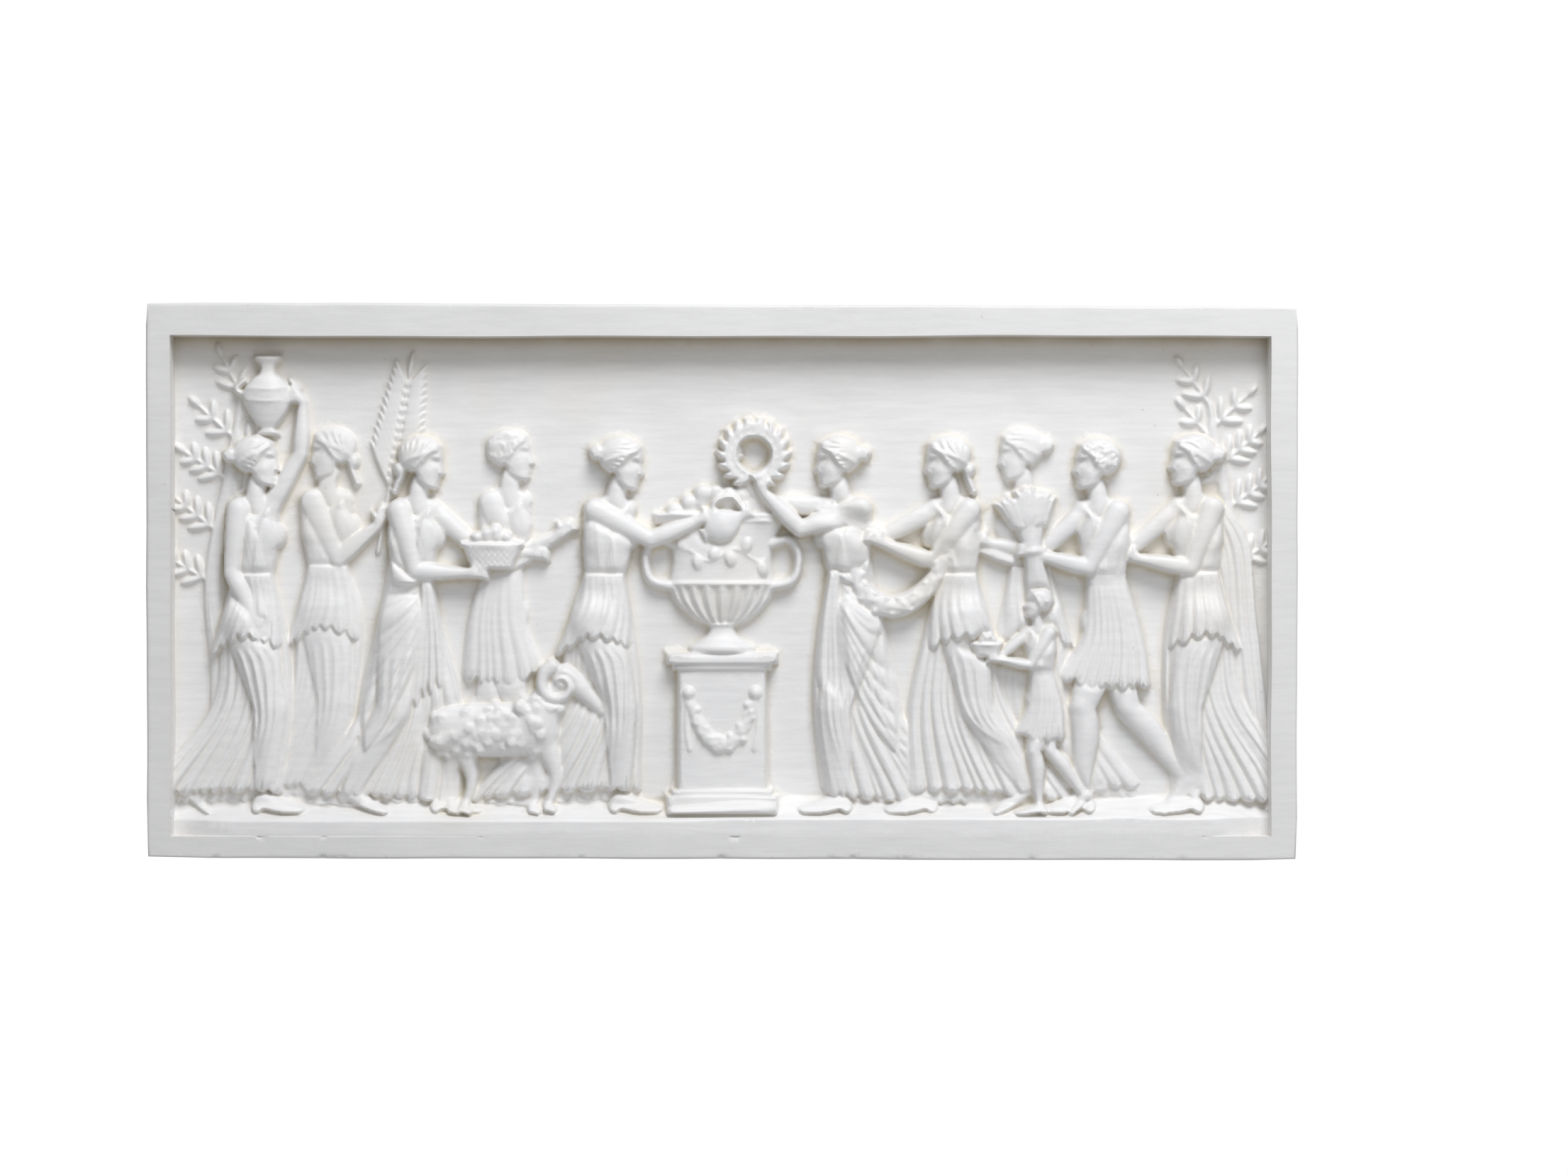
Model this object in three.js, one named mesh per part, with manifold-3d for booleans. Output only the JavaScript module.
// A white marble relief plaque for a wall: a plain slab with a raised flat border, and on its
// sunk field a procession of offering bearers that walks from both ends to a wine bowl on a pedestal.
// The whole plaque is one stone. Millimetres, +Z up, the carved face looks along -Y, and the origin
// is the middle of the flat back, where the plaque meets its wall.

import * as THREE from 'three';
import { mergeVertices } from 'three/addons/utils/BufferGeometryUtils.js';
import loadManifold from 'manifold-3d';

const wasm = await loadManifold();
wasm.setup();

// Driving dimensions of the slab
const WIDTH = 600;
const HEIGHT = 288;
const SLAB = 13;
const RECESS = 17;
const BORDER = { side: 12.6, top: 15.8, bottom: 11.6 };
const DRAFT = 1.2;

// The ledge that the figures stand on: level with the border in front, sloping back to the field, and
// dipping behind the border at both ends
const LEDGE = { front: -126, back: -113.5, dip: 10, end: 36 };
const GROUND = -121;

// What stands in the middle and at the two ends of the field
const PEDESTAL = { high: 84, wide: 46, deep: 8 };
const TREES = [{ x: -266, lean: 14, high: 214 }, { x: 270, lean: -14, high: 210 }];
const TREE_RELIEF = 0.8;
const RAM = { x: -116, z: GROUND - 1 };

// Driving dimensions of a figure, for a body 200 mm tall
const BONE = { thigh: 47, shin: 46, upperArm: 33, forearm: 27, loin: 22, ribs: 23, neck: 20, nape: 9.5 };
const HIP = { near: -2, far: 3 };
const SHOULDER = { near: [-8, 13], far: [8, 14], withLean: 0.15 };
const NECK = { withLean: 1.4, forward: 14 };
const SOLE = 9.5;
const INSTEP = 16;
const HEAD = 26;
const NEAR_ARM = { h: 9.8, thick: 1 };
const FAR_ARM = { h: 4.5, thick: 0.92 };

// How deep each carved form is rooted in the field, and the ledge in the border
const ROOT = -2.5;
const LAP = 2;

// How far the facets of the finished stone may leave the shapes they stand for, how far the carving stays
// below the border's face, and the least distance between two points of the stone
const FACET = 0.9;
const BELOW = 0.4;
const TOUCH = 0.02;

const marble = new THREE.MeshStandardMaterial({ color: 0xe9e7e2, roughness: 0.5, metalness: 0 });

// Solids

// A closed geometry as a manifold solid, turned the right way out if a mirror has reversed it.
function solid(geometry) {
  const bare = geometry.clone();
  bare.deleteAttribute('normal');
  bare.deleteAttribute('uv');
  const merged = mergeVertices(bare);
  const vertProperties = new Float32Array(merged.attributes.position.array);
  const triVerts = new Uint32Array(merged.index.array);
  if (signedVolume(vertProperties, triVerts) < 0) {
    for (let i = 0; i < triVerts.length; i += 3) {
      [triVerts[i], triVerts[i + 1]] = [triVerts[i + 1], triVerts[i]];
    }
  }
  return new wasm.Manifold(new wasm.Mesh({ numProp: 3, vertProperties, triVerts }));
}

function signedVolume(xyz, triangles) {
  const corner = [0, 1, 2].map(() => new THREE.Vector3());
  let total = 0;
  for (let i = 0; i < triangles.length; i += 3) {
    corner.forEach((c, k) => c.fromArray(xyz, 3 * triangles[i + k]));
    total += corner[0].dot(corner[1].cross(corner[2])) / 6;
  }
  return total;
}

// A solid back as a three.js geometry.
function geometryOf(manifold) {
  const { numProp, vertProperties, triVerts } = manifold.getMesh();
  const xyz = new Float32Array(vertProperties.length / numProp * 3);
  for (let i = 0; i < xyz.length / 3; i++) {
    xyz.set(vertProperties.subarray(i * numProp, i * numProp + 3), i * 3);
  }
  const geometry = new THREE.BufferGeometry();
  geometry.setAttribute('position', new THREE.BufferAttribute(xyz, 3));
  geometry.setIndex(new THREE.BufferAttribute(new Uint32Array(triVerts), 1));
  geometry.computeVertexNormals();
  return geometry;
}

// Where the stone only touches itself, in single points, one of the points is drawn back into it.
function apart(geometry) {
  const position = geometry.attributes.position;
  const normal = geometry.attributes.normal;
  const taken = new Set();
  const p = new THREE.Vector3();
  for (let i = 0; i < position.count; i++) {
    p.fromBufferAttribute(position, i);
    const place = p.toArray().map((value) => Math.round(value / TOUCH)).join();
    if (taken.has(place)) {
      p.addScaledVector(new THREE.Vector3().fromBufferAttribute(normal, i), -2 * TOUCH);
      position.setXYZ(i, p.x, p.y, p.z);
    }
    taken.add(place);
  }
  return geometry;
}

// Carving works in a figure's own plane: x forward, z up from the soles, h out of the field.
// carved() sets what was made there on the field.
function carved(geometries, { x = 0, z = GROUND, facing = 1, scale = 1, relief = 1 }) {
  const onField = new THREE.Matrix4().set(
    facing * scale, 0, 0, x,
    0, -relief, 0, -SLAB,
    0, 0, scale, z,
    0, 0, 0, 1,
  );
  return geometries.map((geometry) => solid(geometry.clone().applyMatrix4(onField)));
}

const lerp = THREE.MathUtils.lerp;
const radians = THREE.MathUtils.degToRad;

// A point on a list of points of any length, at a share of the way along.
function along(points, share) {
  const last = points.length - 1;
  const at = share * last;
  const i = Math.min(Math.floor(at), last - 1);
  return points[i].map((value, k) => lerp(value, points[i + 1][k], at - i));
}

// A closed tube of rings: place(column, row) gives each ring's points, and the ends are capped.
function loft(sides, rows, place) {
  const geometry = new THREE.CylinderGeometry(1, 1, 1, sides, rows);
  const position = geometry.attributes.position;
  const p = new THREE.Vector3();
  const middle = (row) => {
    const sum = new THREE.Vector3();
    for (let column = 0; column < sides; column++) sum.add(place(column, row));
    return sum.divideScalar(sides);
  };
  for (let i = 0; i < position.count; i++) {
    p.fromBufferAttribute(position, i);
    const row = Math.round((0.5 - p.y) * rows);
    const column = Math.round(Math.atan2(p.x, p.z) / (2 * Math.PI) * sides + sides) % sides;
    const moved = Math.hypot(p.x, p.z) < 0.5 ? middle(row) : place(column, row);
    position.setXYZ(i, moved.x, moved.y, moved.z);
  }
  return geometry;
}

// A rounded bar through points of x, z, h and radius, pressed flat by the relief.
function limb(points, { sides = 6, flat = 0.8 } = {}) {
  const rows = points.length - 1;
  return loft(sides, rows, (column, row) => {
    const [x, z, h, r] = points[row];
    const before = points[Math.max(row - 1, 0)];
    const after = points[Math.min(row + 1, rows)];
    const heading = Math.atan2(after[1] - before[1], after[0] - before[0]);
    const angle = 2 * Math.PI * (column + 0.5) / sides;
    const side = r * Math.cos(angle);
    const rise = flat * r * Math.sin(angle);
    return new THREE.Vector3(x - side * Math.sin(heading), h + rise, z + side * Math.cos(heading));
  });
}

// An egg of radii rx, rz and depth about x, z, h, turned in the plane of the field.
function ball(x, z, h, rx, rz, deep, { turn = 0, around = 7, rings = 5 } = {}) {
  const geometry = new THREE.SphereGeometry(1, around, rings);
  geometry.rotateX(Math.PI / 2);
  geometry.scale(rx, deep, rz);
  geometry.rotateY(-radians(turn));
  return geometry.translate(x, h, z);
}

function block(x0, x1, z0, z1, h) {
  const geometry = new THREE.BoxGeometry(x1 - x0, h - ROOT, z1 - z0);
  return geometry.translate((x0 + x1) / 2, (h + ROOT) / 2, (z0 + z1) / 2);
}

// A turned vessel pressed flat: profile of radius and height above its foot.
function turned(x, z, h, profile, { flat = 0.5, tilt = 0, sides = 8 } = {}) {
  const outline = [[0, profile[0][1]], ...profile, [0, profile.at(-1)[1]]];
  const geometry = new THREE.LatheGeometry(outline.map(([r, up]) => new THREE.Vector2(r, up)), sides);
  geometry.rotateX(Math.PI / 2);
  geometry.scale(1, flat, 1);
  geometry.rotateY(-radians(tilt));
  return geometry.translate(x, h, z);
}

// The rise of cloth across its width, from its sides to 1 in the middle, as full as the power makes it.
const SIDE = 0.45;
const FULL = 2.4;
const rounded = (u) => lerp(SIDE, 1, Math.sqrt(Math.max(1 - Math.abs(2 * u - 1) ** FULL, 0)));

// Cloth hung on rows from top to bottom. A row runs from its left to its right point and gives the cloth's
// height over the field, the depth of its pleats, how far the ridges hang below it and the leg that presses
// through. The first and last points of a row are its edges, and two more sink its back into the field.
function cloth(rows, pleats) {
  const front = 2 * pleats + 1;
  return loft(front + 2, rows.length - 1, (column, row) => {
    const { left, right, h, fold = 0, drop = 0, edge = 1.5, leg } = rows[row];
    const onFront = column < front;
    const u = onFront ? column / (front - 1) : front + 1 - column;
    const ridge = onFront ? column % 2 : 0;
    const [x, z] = between(left, right, u);
    const pressed = leg ? leg.high * Math.sqrt(Math.max(1 - ((x - leg.x) / leg.wide) ** 2, 0)) : 0;
    const hung = Math.max(h * rounded(u), pressed) + fold * (ridge - 0.5);
    const raised = u === 0 || u === 1 ? edge : hung;
    return new THREE.Vector3(x, onFront ? raised : ROOT, z - drop * ridge);
  });
}

// The body

const plus = (a, b) => [a[0] + b[0], a[1] + b[1]];
const between = (a, b, t = 0.5) => [lerp(a[0], b[0], t), lerp(a[1], b[1], t)];

// The end of a bone that hangs from start; the angle counts forward from straight down.
function swing(start, length, angle) {
  return plus(start, [length * Math.sin(radians(angle)), -length * Math.cos(radians(angle))]);
}

// All joints of a walking figure from a few angles: each leg has a thigh angle and a knee bend,
// each arm the angles of upper arm and forearm, and lean tips the trunk forward.
function joints({ nearLeg, farLeg, lean, nearArm, farArm }) {
  const drop = (length, angle) => length * Math.cos(radians(angle));
  const reach = ([thigh, bend]) => drop(BONE.thigh, thigh) + drop(BONE.shin, thigh - bend);
  const pelvis = [0, SOLE + Math.max(reach(nearLeg), reach(farLeg))];
  const leg = ([thigh, bend], offset) => {
    const hip = plus(pelvis, [offset, 0]);
    const knee = swing(hip, BONE.thigh, thigh);
    return { hip, knee, ankle: swing(knee, BONE.shin, thigh - bend) };
  };
  const rise = (start, length, angle) => swing(start, length, 180 - angle);
  const waist = rise(pelvis, BONE.loin, lean);
  const chest = rise(waist, BONE.ribs, lean);
  const neck = rise(chest, BONE.neck, lean * NECK.withLean);
  const shoulder = ([x, z]) => plus(chest, [x + lean * SHOULDER.withLean, z]);
  const arm = (angles, start) => {
    const elbow = angles && swing(start, BONE.upperArm, angles[0]);
    return { shoulder: start, elbow, wrist: angles && swing(elbow, BONE.forearm, angles[1]) };
  };
  return {
    pelvis, waist, chest, neck,
    head: rise(neck, BONE.nape, lean * NECK.withLean + NECK.forward),
    near: { ...leg(nearLeg, HIP.near), ...arm(nearArm, shoulder(SHOULDER.near)) },
    far: { ...leg(farLeg, HIP.far), ...arm(farArm, shoulder(SHOULDER.far)) },
  };
}

// A head in profile on plain ideal proportions, with its neck: rows of height, front and back as shares of
// the head's height, and columns from the profile line over cheek and temple to the nape.
const HEAD_ROWS = [
  [1, -0.3, -0.55], [0.84, -0.05, -0.82], [0.56, -0.02, -0.89], [0.37, 0.1, -0.84],
  [0.29, 0, -0.8], [0.06, -0.03, -0.68], [-0.03, -0.34, -0.66], [-0.34, -0.26, -0.8],
];
const HEAD_COLUMNS = [[0, 5.4], [0.22, 9.2], [0.55, 11], [0.85, 8.6], [1, 4], [1, ROOT], [0, ROOT]];
const HEAD_PIVOT = [-0.33, 0.15];
const CROWN = 7;
const KNOT = { at: [-0.95, 0.64], wide: 0.17, high: 0.15, deep: 5 };
const PLAIT = { line: [[-0.78, 0.42, 3.6], [-0.84, 0.15, 3], [-0.9, -0.2, 1.5]], h: 5 };

function head([x, z], { tilt, hair, look }) {
  const cos = Math.cos(radians(tilt));
  const sin = Math.sin(radians(tilt));
  const place = (forward, up) => {
    const [a, b] = [(forward - HEAD_PIVOT[0]) * HEAD, (up - HEAD_PIVOT[1]) * HEAD];
    return [x + look * (cos * a - sin * b), z + sin * a + cos * b];
  };
  const skull = loft(HEAD_COLUMNS.length, HEAD_ROWS.length - 1, (column, row) => {
    const [up, front, back] = HEAD_ROWS[row];
    const [share, h] = HEAD_COLUMNS[column];
    const [px, pz] = place(lerp(front, back, share), up);
    return new THREE.Vector3(px, row === 0 ? Math.min(h, CROWN) : h, pz);
  });
  const [wide, high] = [KNOT.wide * HEAD, KNOT.high * HEAD];
  const knot = ball(...place(...KNOT.at), KNOT.deep, wide, high, KNOT.deep, { around: 6, rings: 4 });
  const plait = PLAIT.line.map(([forward, up, r]) => [...place(forward, up), PLAIT.h, r]);
  return { bun: [skull, knot], tail: [skull, limb(plait, { sides: 5 })], short: [skull] }[hair];
}

// A bare arm with its hand.
function arm({ shoulder, elbow, wrist }, handTurn, { h, thick }) {
  const a = radians(handTurn);
  const reach = (far) => plus(wrist, [far * Math.cos(a), far * Math.sin(a)]);
  const line = [
    [shoulder, -1, 6], [elbow, 0, 4.6], [between(elbow, wrist, 0.35), 0, 4.6],
    [wrist, 0, 2.9], [reach(7), 0.5, 3.6], [reach(14), 0.5, 1.9],
  ];
  return limb(line.map(([point, up, r]) => [...point, h + up, r * thick]), { sides: 5 });
}

// A foot whose toes stay on the ground under a lifted ankle.
function foot([x, z], h) {
  const turn = -Math.asin(THREE.MathUtils.clamp((z - SOLE) / INSTEP, 0, 0.85));
  const at = (forward, up) => [
    x + forward * Math.cos(turn) - up * Math.sin(turn),
    z + forward * Math.sin(turn) + up * Math.cos(turn),
  ];
  return limb([[...at(-6, -5), h, 3], [...at(5, -3.6), h, 4.2], [...at(20, -7.2), h, 1.9]], { sides: 5 });
}

// Clothes

const WIND = 16;
const PLEATS = 5;

// Shoulders, breast and belt, the same for every dress.
function bodice({ waist, chest, near, far }) {
  return [
    { left: plus(near.shoulder, [-5, 4]), right: plus(far.shoulder, [3, 4]), h: 7 },
    { left: plus(near.shoulder, [-6, -4]), right: plus(far.shoulder, [6, -4]), h: 9.5, fold: 0.8 },
    { left: plus(chest, [-13, -1]), right: plus(chest, [14.5, -1]), h: 11.5, fold: 1 },
    { left: plus(waist, [-10, 3]), right: plus(waist, [10, 3]), h: 8.6, fold: 0.8 },
  ];
}

// The skirt of a long dress below the hips; the near leg presses its shape through the cloth.
function skirt({ near, far }) {
  const most = (joint) => Math.max(near[joint][0], far[joint][0]);
  const least = (joint) => Math.min(near[joint][0], far[joint][0]);
  const kneeHeight = (near.knee[1] + far.knee[1]) / 2;
  return [
    {
      left: [least('knee') - 11 - 0.35 * WIND, kneeHeight], right: [most('knee') + 10.5, kneeHeight],
      h: 6.6, fold: 2, leg: { x: near.knee[0], wide: 11, high: 11 },
    },
    {
      left: [least('ankle') - 9 - WIND, SOLE - 1], right: [most('ankle') + 8, SOLE + 1],
      h: 6.6, fold: 3, drop: 3, leg: { x: near.ankle[0], wide: 9, high: 9.5 },
    },
  ];
}

// A hem that ends over the cloth below it: the same row twice, the second time stepped in.
function hem(row, step = 2.4) {
  const [left, right] = [plus(row.left, [0.8, -1]), plus(row.right, [-0.8, -1])];
  return [{ ...row, edge: 1 + step }, { ...row, left, right, h: row.h - step, edge: 1 }];
}

// A belted dress with an overfold that ends at the hips.
function peplos(j) {
  const { pelvis } = j;
  const [left, right] = [plus(pelvis, [-20, -10]), plus(pelvis, [17, -2])];
  const over = { left, right, h: 11.4, fold: 2.2, drop: 3.5 };
  return [cloth([...bodice(j), ...hem(over), ...skirt(j)], PLEATS), ...shoes(j)];
}

// A cloak round the hips over a long dress, gathered at the front of the waist, where it falls in pleats.
function mantle(j) {
  const { pelvis, waist, near, far } = j;
  const gather = plus(waist, [9.5, -1]);
  const rearKnee = Math.min(near.knee[0], far.knee[0]);
  const lip = { left: plus(waist, [-12, 8]), right: plus(gather, [2, 4]), h: 11, fold: 1.2, edge: 4 };
  const sweep = { left: plus(pelvis, [-19, -10]), right: plus(gather, [5, -6]), h: 11.5, fold: 1.6 };
  const edge = { left: [rearKnee - 16, 34], right: plus(gather, [7, -20]), h: 12, fold: 1.6, drop: 2 };
  const [knees, ankles] = skirt(j);
  const below = { ...knees, left: [rearKnee - 15, 29] };
  const [top, breast, chest] = bodice(j);
  const fall = cloth([
    { left: plus(gather, [-5, 3]), right: plus(gather, [6, 3]), h: 12.5, fold: 1.4, edge: 8 },
    { left: plus(gather, [-9, -58]), right: plus(gather, [11, -46]), h: 10.5, fold: 2.2, drop: 5, edge: 5 },
  ], 3);
  return [cloth([top, breast, chest, lip, sweep, ...hem(edge), below, ankles], PLEATS), fall, ...shoes(j)];
}

// A short belted tunic over bare legs.
function tunic(j) {
  const { near, far } = j;
  const low = 70;
  const rear = [far.knee[0] * 0.45 - 17, low];
  const front = [near.knee[0] * 0.55 + 19, low + 4];
  const rows = [
    ...bodice(j),
    { left: plus(near.hip, [-15, -4]), right: plus(near.hip, [17, -6]), h: 10.4, fold: 1.6 },
    { left: rear, right: front, h: 10.8, fold: 2.6, drop: 3.5 },
  ];
  const leg = ({ hip, knee, ankle }, h) => limb([
    [...between(hip, knee, 0.3), h, 10],
    [...knee, h + 1.2, 6.8],
    [...plus(between(knee, ankle, 0.3), [-1.6, 0]), h + 1.2, 6.8],
    [...between(knee, ankle, 0.75), h + 0.4, 4.6],
    [...ankle, h + 1, 4],
  ]);
  return [cloth(rows, PLEATS), leg(far, 2.5), leg(near, 4.5), ...shoes(j)];
}

function shoes({ near, far }) {
  return [foot(far.ankle, 6), foot(near.ankle, 8)];
}

// A light cloak that hangs from the shoulders and blows out a little behind the back.
function cloak({ near }) {
  const from = (x, z) => plus(near.shoulder, [x, z]);
  return cloth([
    { left: from(-3, 5), right: from(3, 2), h: 5 },
    { left: from(-19, -16), right: from(1, -30), h: 5, fold: 1.6 },
    { left: from(-24, -58), right: from(-2, -62), h: 4.5, fold: 2 },
    { left: from(-33, -118), right: from(-8, -112), h: 3.4, fold: 2.2, drop: 5 },
  ], 4);
}

const DRESSES = { peplos, mantle, tunic, cloaked: (j) => [cloak(j), ...peplos(j)] };

// One bearer: the pose's angles, the dress, and what the near hand holds.
function bearer({ pose, dress, hair = 'bun', tilt = 0, look = 1, nearHand = 20, farHand = 30, held }) {
  const j = joints(pose);
  const pieces = [...DRESSES[dress](j), ...head(j.head, { tilt, hair, look })];
  if (j.far.wrist) pieces.push(arm(j.far, farHand, FAR_ARM));
  if (j.near.wrist) pieces.push(arm(j.near, nearHand, NEAR_ARM));
  if (held) pieces.push(...held(j.near.wrist));
  return pieces;
}

// What the bearers carry

// Two rows of fruit, the upper one shorter.
function fruitHeap(x, z, wide, h, size) {
  const fruits = [];
  const [pitch, layer, thick] = [1.7 * size, 0.9 * size, 3.2];
  for (let row = 0; row < 2; row++) {
    const count = Math.max(2, Math.round((1 - 0.3 * row) * wide / pitch));
    for (let k = 0; k < count; k++) {
      const at = x + (k - (count - 1) / 2) * pitch;
      fruits.push(ball(at, z + row * layer, h + 0.5 * row, size, size, thick, { around: 6, rings: 3 }));
    }
  }
  return fruits;
}

function basket(x, z, wide, high, h) {
  const profile = [[0.36, 0], [0.45, 0.6], [0.52, 0.85], [0.54, 1]].map(([r, up]) => [r * wide, up * high]);
  const weave = turned(x, z, h, profile, { flat: 0.34, sides: 10 });
  const fruit = 4.4;
  return [weave, ...fruitHeap(x, z + high, 0.8 * wide, h, fruit)];
}

function waterJar(x, z, s, h) {
  const profile = [
    [6.5, 0], [4.2, 4], [8, 8], [13.5, 18], [14.2, 25], [9, 32], [4.8, 36], [4.6, 40], [7.8, 44],
  ].map(([r, up]) => [r * s, up * s]);
  const loop = [[12, 22, 1.7], [18, 26, 1.6], [8, 32, 1.6]];
  const handle = (side) => limb(
    loop.map(([out, up, r]) => [x + side * out * s, z + up * s, h, r * s]), { sides: 5 },
  );
  return [turned(x, z, h, profile, { sides: 10 }), handle(-1), handle(1)];
}

function jug(x, z, tilt, h) {
  const profile = [[4.2, 0], [3.2, 2], [7, 6], [8.6, 12], [6, 18], [3, 22], [3.2, 26], [5, 29]];
  return [turned(x, z, h, profile, { tilt })];
}

function leaf(x, z, turn, long, wide, h) {
  const thick = 1.6;
  const half = long / 2;
  const [mx, mz] = [x + half * Math.cos(radians(turn)), z + half * Math.sin(radians(turn))];
  return ball(mx, mz, h, half, wide, thick, { turn, around: 4, rings: 3 });
}

// A swag of fruit and leaves: a sagging bar, thickest in the middle, set with fruit.
function garland([x0, z0], [x1, z1], { sag, thick, h, fruits }) {
  const at = (t) => [lerp(x0, x1, t), lerp(z0, z1, t) - sag * Math.sin(Math.PI * t)];
  const bar = [];
  const steps = 6;
  for (let k = 0; k <= steps; k++) {
    bar.push([...at(k / steps), h, thick * (0.5 + 0.5 * Math.sin(Math.PI * k / steps))]);
  }
  const pieces = [limb(bar)];
  const fruit = 2.6;
  for (let k = 1; k <= fruits; k++) {
    const place = at(k / (fruits + 1));
    pieces.push(ball(...place, h + 0.6 * thick, fruit, fruit, 0.8 * fruit, { around: 6, rings: 4 }));
  }
  return pieces;
}

// A ring of leaves.
function wreath(x, z, r, h) {
  const ring = new THREE.TorusGeometry(r, 0.35 * r, 5, 12);
  ring.rotateX(Math.PI / 2);
  return [ring.translate(x, h, z)];
}

// A bound bundle of corn: ears spread above the tie and stalks below it.
function sheaf(x, z, turn, h) {
  const a = radians(turn);
  const row = (up, half, rise, fold, drop = 0) => ({
    left: [x + up * Math.cos(a) - half * Math.sin(a), z + up * Math.sin(a) + half * Math.cos(a)],
    right: [x + up * Math.cos(a) + half * Math.sin(a), z + up * Math.sin(a) - half * Math.cos(a)],
    h: h + rise, fold, drop, edge: h - 3,
  });
  const ears = [row(34, 13, 1, 2.4, -3), row(18, 10, 4, 2.8)];
  const stalks = [row(0, 5.5, 2.5, 1), row(-33, 9.5, 1, 2.6, 3)];
  return [cloth([...ears, ...stalks], 4)];
}

// A palm branch: a bare stem below, and above it blades that get shorter towards the tip.
function palm(x, z, turn, long, h) {
  const a = radians(turn);
  const rows = [];
  const steps = 9;
  const bare = 0.4 * long;
  const stem = 1.6;
  const [lowest, highest, swept] = [15, 7, 6];
  for (let k = 0; k <= steps; k++) {
    const up = long * (1 - k / steps);
    const blade = k % 2 === 1 && up > bare;
    const half = blade ? lerp(lowest, highest, up / long) : stem;
    const tip = blade ? up + swept : up;
    const at = (side) => [
      x + tip * Math.cos(a) - side * half * Math.sin(a),
      z + tip * Math.sin(a) + side * half * Math.cos(a),
    ];
    rows.push({ left: at(1), right: at(-1), h: h + 2, edge: h - 0.5 });
  }
  return [cloth(rows, 1)];
}

// The middle of the field: pedestal and wine bowl

// The pedestal's foot and top are courses of a low and a top height, and how far they stand out to the
// sides and to the front.
function pedestal({ high, wide, deep }) {
  const half = wide / 2;
  const courses = [[0, 9, 6, 5], [9, 12.5, 3.5, 2], [high - 9, high - 6, 3, 1.7], [high - 6, high, 6, 3.3]];
  const [endX, endZ] = [0.38 * wide, 0.72 * high];
  const swag = { sag: 0.29 * high, thick: 4.6, h: deep + 1.5, fruits: 3 };
  return [
    block(-half, half, 0, high, deep),
    ...courses.map(([low, top, out, h]) => block(-half - out, half + out, low, top, deep + h)),
    ...garland([-endX, endZ], [endX, endZ], swag),
  ];
}

function wineBowl(z) {
  const profile = [
    [17, 0], [16, 4], [7, 10], [8, 14], [24, 26], [29, 36], [26.5, 42], [27, 54], [31, 66], [35, 73],
  ];
  const loop = [[22, 34, 2.6], [37, 38, 2.4], [40, 52, 2.2], [29, 58, 2.2]];
  const handle = (side) => limb(loop.map(([out, up, r]) => [side * out, z + up, 5, r]), { sides: 5 });
  const bowl = turned(0, z, 3, profile, { flat: 0.32, sides: 12 });
  const fruit = { z: z + 74, wide: 58, h: 6, size: 6.4 };
  return [bowl, handle(-1), handle(1), ...fruitHeap(0, fruit.z, fruit.wide, fruit.h, fruit.size)];
}

// The ends of the field and the ram

function tree({ x, lean, high }) {
  const line = [[0, 0, 6.5], [0.2, 0.3, 5], [-0.1, 0.55, 4.2], [0.5, 0.8, 3], [1, 1, 1.6]];
  const trunk = line.map(([sway, up, r]) => [x + sway * lean, 4 + up * high, 1, r]);
  const pieces = [limb(trunk, { sides: 5 })];
  const boughs = { count: 9, from: 0.5, wide: 6, h: 2.6, spread: [62, 42], long: [34, 28] };
  for (let k = 0; k < boughs.count; k++) {
    const t = k / (boughs.count - 1);
    const side = k % 2 ? 1 : -1;
    const [bx, bz] = along(trunk, lerp(boughs.from, 1, t));
    const turn = 90 - side * lerp(...boughs.spread, t);
    pieces.push(leaf(bx, bz, turn, lerp(...boughs.long, t), boughs.wide, boughs.h));
  }
  return pieces;
}

function ram() {
  const farLegs = [[-24, 34, -27, -25, 5.5], [17, 34, 19, 17, 5.5]];
  const nearLegs = [[-19, 36, -15, -19, 8], [24, 36, 29, 25, 8]];
  const trunk = [[-37, 45, 4, 6], [-28, 44, 4, 13], [-5, 44, 4.5, 14], [17, 45, 4.5, 14], [28, 46, 4.5, 7]];
  const leg = ([x, z, kneeX, footX, h]) => limb(
    [[x, z, 3, 6.5], [kneeX, 18, h, 3.2], [footX, 2, h, 2.6]], { sides: 5 },
  );
  const horn = [];
  const curl = { x: 31, z: 68, turn: [110, 458], wide: [10.5, 3.3], h: [9, 11.4], thick: [3.4, 1] };
  const steps = 6;
  for (let k = 0; k <= steps; k++) {
    const t = k / steps;
    const a = radians(lerp(...curl.turn, t));
    const r = lerp(...curl.wide, t);
    const place = [curl.x + r * Math.cos(a), curl.z + r * Math.sin(a)];
    horn.push([...place, lerp(...curl.h, t), lerp(...curl.thick, t)]);
  }
  return [
    limb(trunk, { sides: 8, flat: 0.6 }),
    limb([[18, 50, 4.5, 12], [28, 62, 5, 8.5], [34, 70, 5.5, 7]], { flat: 0.7 }),
    limb([[30, 74, 6, 6], [42, 66, 6, 5.4], [54, 55, 5.3, 3.2]]),
    limb(horn, { sides: 5 }),
    ...[...farLegs, ...nearLegs].map(leg),
  ];
}

// The procession: who stands where, which way they walk, and how deep they are cut

const LOW = 0.56;

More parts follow.
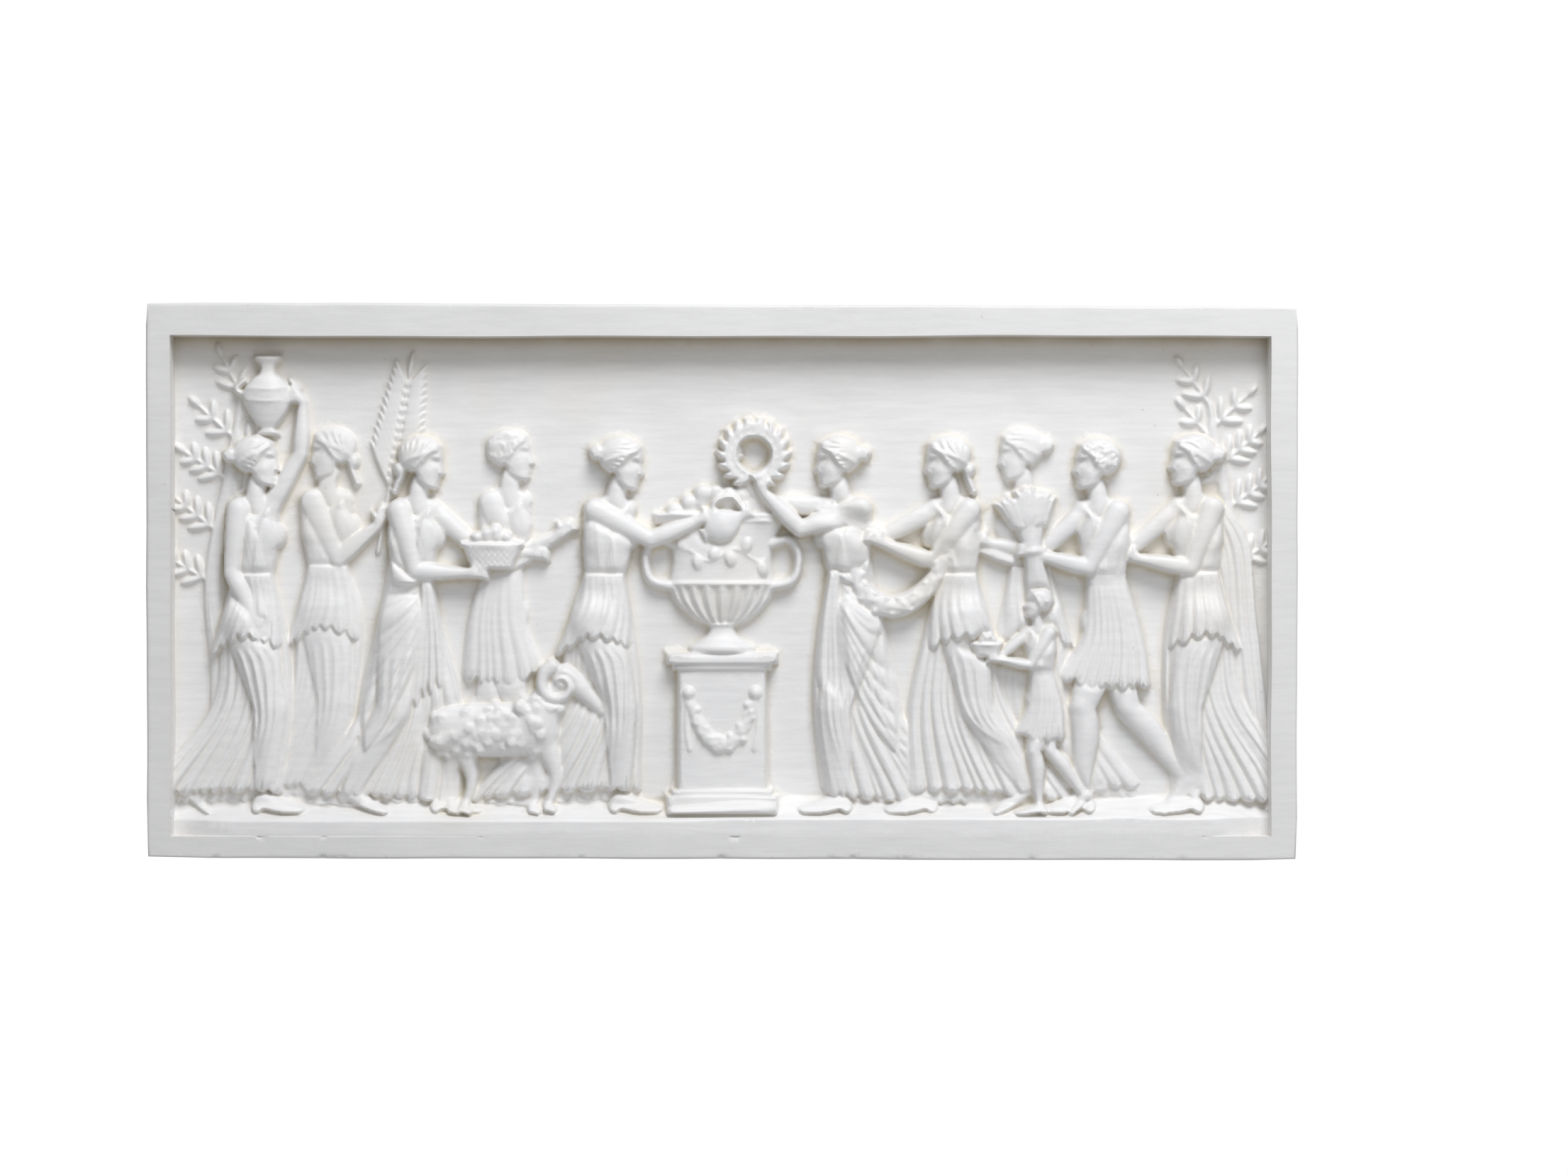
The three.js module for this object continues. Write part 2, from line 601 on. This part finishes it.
const procession = [
  {
    at: { x: -206, z: GROUND + 3, relief: LOW },
    pose: { nearLeg: [6, 12], farLeg: [-10, 26], nearArm: [25, 130], lean: -1 },
    dress: 'peplos', hair: 'tail', look: -1, tilt: -4, nearHand: 70,
    held: ([x, z]) => palm(x, z - 14, 80, 100, 4),
  },
  {
    at: { x: -116, z: GROUND + 3, relief: LOW },
    pose: { nearLeg: [12, 18], farLeg: [-12, 26], nearArm: [20, 120], lean: 3 },
    dress: 'tunic', hair: 'short', nearHand: 40,
  },
  {
    at: { x: 163, z: GROUND + 3, facing: -1, relief: LOW },
    pose: { nearLeg: [-8, 22], farLeg: [12, 10], nearArm: [30, 110], lean: 3 },
    dress: 'peplos', tilt: -6,
  },
  {
    at: { x: -246 },
    pose: { nearLeg: [15, 20], farLeg: [-10, 30], nearArm: [-6, 28], farArm: [150, 178], lean: 1 },
    dress: 'peplos', nearHand: -60, farHand: 95,
    held: () => waterJar(8, 198, 0.92, 5),
  },
  {
    at: { x: -164 },
    pose: { nearLeg: [-7, 22], farLeg: [17, 16], nearArm: [15, 88], farArm: [50, 85], lean: 3 },
    dress: 'mantle', hair: 'tail', tilt: -8, nearHand: 5, farHand: 0,
    held: ([x, z]) => basket(x + 13, z + 2, 30, 13, 9),
  },
  {
    at: { x: -64 },
    pose: { nearLeg: [16, 16], farLeg: [-14, 30], nearArm: [62, 112], lean: 6 },
    dress: 'peplos', tilt: -10, nearHand: 25,
    held: ([x, z]) => jug(x + 2, z - 8, -62, 9),
  },
  {
    at: { x: 68, facing: -1 },
    pose: { nearLeg: [14, 18], farLeg: [-12, 30], nearArm: [72, 135], farArm: [95, 140], lean: 4 },
    dress: 'mantle', tilt: -4, nearHand: 75, farHand: 100,
    held: ([x, z]) => wreath(x + 5, z + 20, 12, 9),
  },
  {
    at: { x: 124, facing: -1 },
    pose: { nearLeg: [-9, 24], farLeg: [16, 14], nearArm: [35, 110], farArm: [62, 118], lean: 3 },
    dress: 'peplos', hair: 'tail', tilt: -6, nearHand: 30,
    held: () => garland([6, 136], [54, 126], { sag: 22, thick: 6, h: 8, fruits: 3 }),
  },
  {
    at: { x: 203, facing: -1 },
    pose: { nearLeg: [20, 20], farLeg: [-16, 24], nearArm: [28, 104], farArm: [48, 100], lean: 4 },
    dress: 'tunic', hair: 'short', nearHand: 20,
    held: ([x, z]) => sheaf(x + 3, z + 2, 82, 9),
  },
  {
    at: { x: 250, facing: -1 },
    pose: { nearLeg: [12, 16], farLeg: [-14, 32], nearArm: [20, 100], farArm: [50, 130], lean: 2 },
    dress: 'cloaked',
  },
  {
    at: { x: 168, z: GROUND - 1, facing: -1, scale: 0.6, relief: 1.1 },
    pose: { nearLeg: [12, 18], farLeg: [-12, 26], nearArm: [30, 100], farArm: [50, 105], lean: 3 },
    dress: 'tunic', hair: 'short', tilt: 8, nearHand: 10,
    held: ([x, z]) => basket(x + 11, z + 2, 26, 12, 9),
  },
];

// The slab: a plain block whose field is sunk behind the border, with a ledge along its foot.
function slab() {
  const blank = new THREE.BoxGeometry(WIDTH, SLAB + RECESS, HEIGHT).translate(0, -(SLAB + RECESS) / 2, 0);
  const left = -WIDTH / 2 + BORDER.side;
  const low = -HEIGHT / 2 + BORDER.bottom;
  const high = HEIGHT / 2 - BORDER.top;
  const sunk = loft(4, 1, (column, row) => {
    const widen = row ? DRAFT : 0;
    const h = row ? RECESS + 1 : 0;
    const x = column === 0 || column === 3 ? left - widen : -left + widen;
    const z = column < 2 ? low - widen : high + widen;
    return new THREE.Vector3(x, -SLAB - h, z);
  });
  return solid(blank).subtract(solid(sunk)).add(solid(ledge(left, low)));
}

function ledge(left, low) {
  const dipped = RECESS - LEDGE.dip;
  const level = left + LEDGE.end;
  const stations = [[left - LAP, dipped], [level, RECESS], [-level, RECESS], [-left + LAP, dipped]];
  const corners = (top) => [
    [ROOT, low - LAP], [top, low - LAP], [top, LEDGE.front], [0, LEDGE.back], [ROOT, LEDGE.back],
  ];
  return loft(corners(RECESS).length, stations.length - 1, (column, row) => {
    const [x, top] = stations[row];
    const [h, z] = corners(top)[column];
    return new THREE.Vector3(x, -SLAB - h, z);
  });
}

function plaque() {
  const carving = [
    ...TREES.flatMap((where) => carved(tree(where), { relief: TREE_RELIEF })),
    ...carved([...pedestal(PEDESTAL), ...wineBowl(PEDESTAL.high)], {}),
    ...procession.flatMap(({ at, ...who }) => carved(bearer(who), at)),
    ...carved(ram(), RAM),
  ].reduce((whole, part) => whole.add(part));
  const top = RECESS - BELOW;
  const room = new THREE.BoxGeometry(WIDTH - BORDER.side, top - ROOT, HEIGHT - BORDER.top);
  room.translate(0, -SLAB - (top + ROOT) / 2, 0);
  const stone = carving.intersect(solid(room)).add(slab()).asOriginal().simplify(FACET);
  const outer = stone.decompose().reduce((most, shell) => (shell.volume() > most.volume() ? shell : most));
  const mesh = new THREE.Mesh(apart(geometryOf(outer)), marble);
  mesh.name = 'relief_plaque';
  return mesh;
}

const group = new THREE.Group();
group.add(plaque());

export default group;
